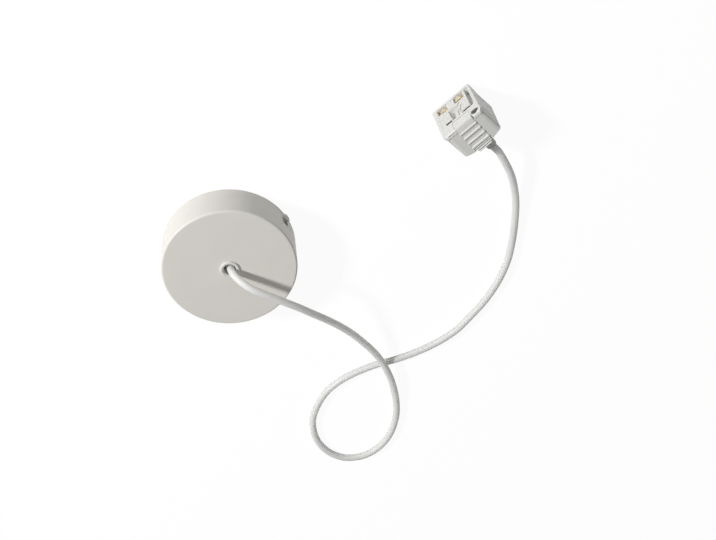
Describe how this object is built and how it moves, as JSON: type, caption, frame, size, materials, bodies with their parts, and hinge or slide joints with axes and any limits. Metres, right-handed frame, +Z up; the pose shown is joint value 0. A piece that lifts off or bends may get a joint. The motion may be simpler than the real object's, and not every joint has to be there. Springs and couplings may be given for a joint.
{
  "type": "track light power feed",
  "caption": "Round ceiling canopy with a looping round cord and a square track connector that has brass contacts and a ribbed sprung locking slide.",
  "frame": {"origin": "centre of the canopy's open back, on the surface that it stands on", "axes": "+Z up through the canopy's face, +X along the mounting strap and its side screws"},
  "size_m": [0.3281, 0.3503, 0.059],
  "materials": {
    "powder_white": "satin powder coat",
    "zinc_steel": "zinc plated",
    "white_plastic": "satin moulded plastic",
    "cord_white": "satin PVC sheath",
    "terminal_plastic": "matt moulded plastic",
    "brass": "bright",
    "lead_brown": "satin PVC insulation",
    "lead_blue": "satin PVC insulation",
    "lead_green_yellow": "satin PVC insulation"
  },
  "bodies": {
    "feed": {"canopy_cup": "powder_white", "mounting_strap": "zinc_steel", "side_screws": "powder_white", "cord_bushing": "white_plastic", "bushing_nut": "white_plastic", "cord_clamp_left": "white_plastic", "cord_clamp_right": "white_plastic", "cord_clamp_screws": "zinc_steel", "terminal_block": "terminal_plastic", "terminal_tubes": "brass", "terminal_screws": "zinc_steel", "block_screws": "zinc_steel", "earth_screw": "zinc_steel", "earth_ring": "zinc_steel", "live_lead": "lead_brown", "neutral_lead": "lead_blue", "earth_lead": "lead_green_yellow", "earth_link": "lead_green_yellow", "supply_cord": "cord_white", "connector_shell": "white_plastic", "rear_cover": "white_plastic", "cover_screws": "zinc_steel", "strain_relief": "cord_white", "relief_clamp_lower": "white_plastic", "relief_clamp_upper": "white_plastic", "relief_clamp_screws": "zinc_steel", "contact_carrier": "white_plastic", "live_contact": "brass", "neutral_contact": "brass", "earth_contact": "brass", "contact_screws": "zinc_steel", "contact_live_lead": "lead_brown", "contact_neutral_lead": "lead_blue", "contact_earth_lead": "lead_green_yellow", "slide_spring": "zinc_steel"},
    "slide": {"locking_slide": "white_plastic"}
  },
  "joints": [
    {"name": "slide_release", "type": "slide", "parent": "feed", "child": "slide", "axis": [-0.1994, 0.9799, 0], "range_m": [0, 0.004], "stiffness_N_per_m": 600, "springref_m": -0.003, "deforming": ["slide_spring"]}
  ]
}
